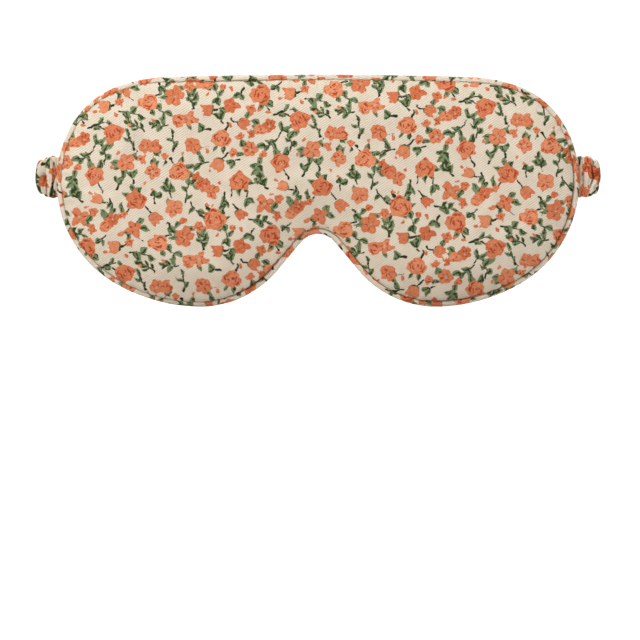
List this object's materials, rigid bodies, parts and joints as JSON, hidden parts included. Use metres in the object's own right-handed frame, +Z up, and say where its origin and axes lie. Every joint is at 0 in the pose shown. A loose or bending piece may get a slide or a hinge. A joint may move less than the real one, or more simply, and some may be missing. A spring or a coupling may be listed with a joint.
{
  "type": "padded sleep eye mask",
  "caption": "Padded fabric sleep mask with a nose notch, corded edge, envelope-backed pocket holding a removable insert, and a ruched elastic head strap.",
  "frame": {"origin": "in the plane of the edge seam, at the middle of the mask's width and at the height of the strap", "axes": "+Z up as worn, +X across the face, +Y from the mask towards the wearer's face, so the printed front faces -Y"},
  "size_m": [0.228, 0.018, 0.0927],
  "materials": {
    "floral_cotton": null,
    "back_lining": "matte brushed plain-weave lining",
    "pocket_cotton": "matte plain cotton",
    "thread": "matte sewing thread",
    "wadding": "soft matte polyester wadding",
    "piping_cord": "soft matte cotton cord",
    "insert_cloth": "matte plain cotton",
    "insert_filling": "soft matte padding",
    "elastic": "matte knitted elastic"
  },
  "bodies": {
    "mask": {"front_panel": "floral_cotton", "wadding": "wadding", "inner_lining": "pocket_cotton", "back_panel": "back_lining", "back_hem_stitches": "thread", "piping_cover": "floral_cotton", "piping_cord": "piping_cord", "seam_thread": "thread", "insert_front_cover": "insert_cloth", "insert_back_cover": "insert_cloth", "insert_filling": "insert_filling", "insert_seam_thread": "thread", "strap_cover_left_end": "floral_cotton", "strap_cover_right_end": "floral_cotton", "strap_elastic_left_end": "elastic", "strap_elastic_right_end": "elastic"},
    "strap": {"strap_cover_middle": "floral_cotton", "strap_elastic_middle": "elastic"},
    "flap": {"flap_panel": "back_lining", "flap_hem_stitches": "thread"}
  },
  "joints": [
    {"name": "strap_pull", "type": "slide", "parent": "mask", "child": "strap", "axis": [0, 1, 0], "range_m": [0, 0.12], "stiffness_N_per_m": 25, "deforming": ["strap_cover_left_end", "strap_cover_right_end", "strap_elastic_left_end", "strap_elastic_right_end"]},
    {"name": "flap_open", "type": "hinge", "parent": "mask", "child": "flap", "pos_m": [-0.095, 0.002, 0], "axis": [0, 0, 1], "range_deg": [0, 4], "stiffness_Nm_per_rad": 0.01, "deforming": ["flap_panel"]}
  ]
}
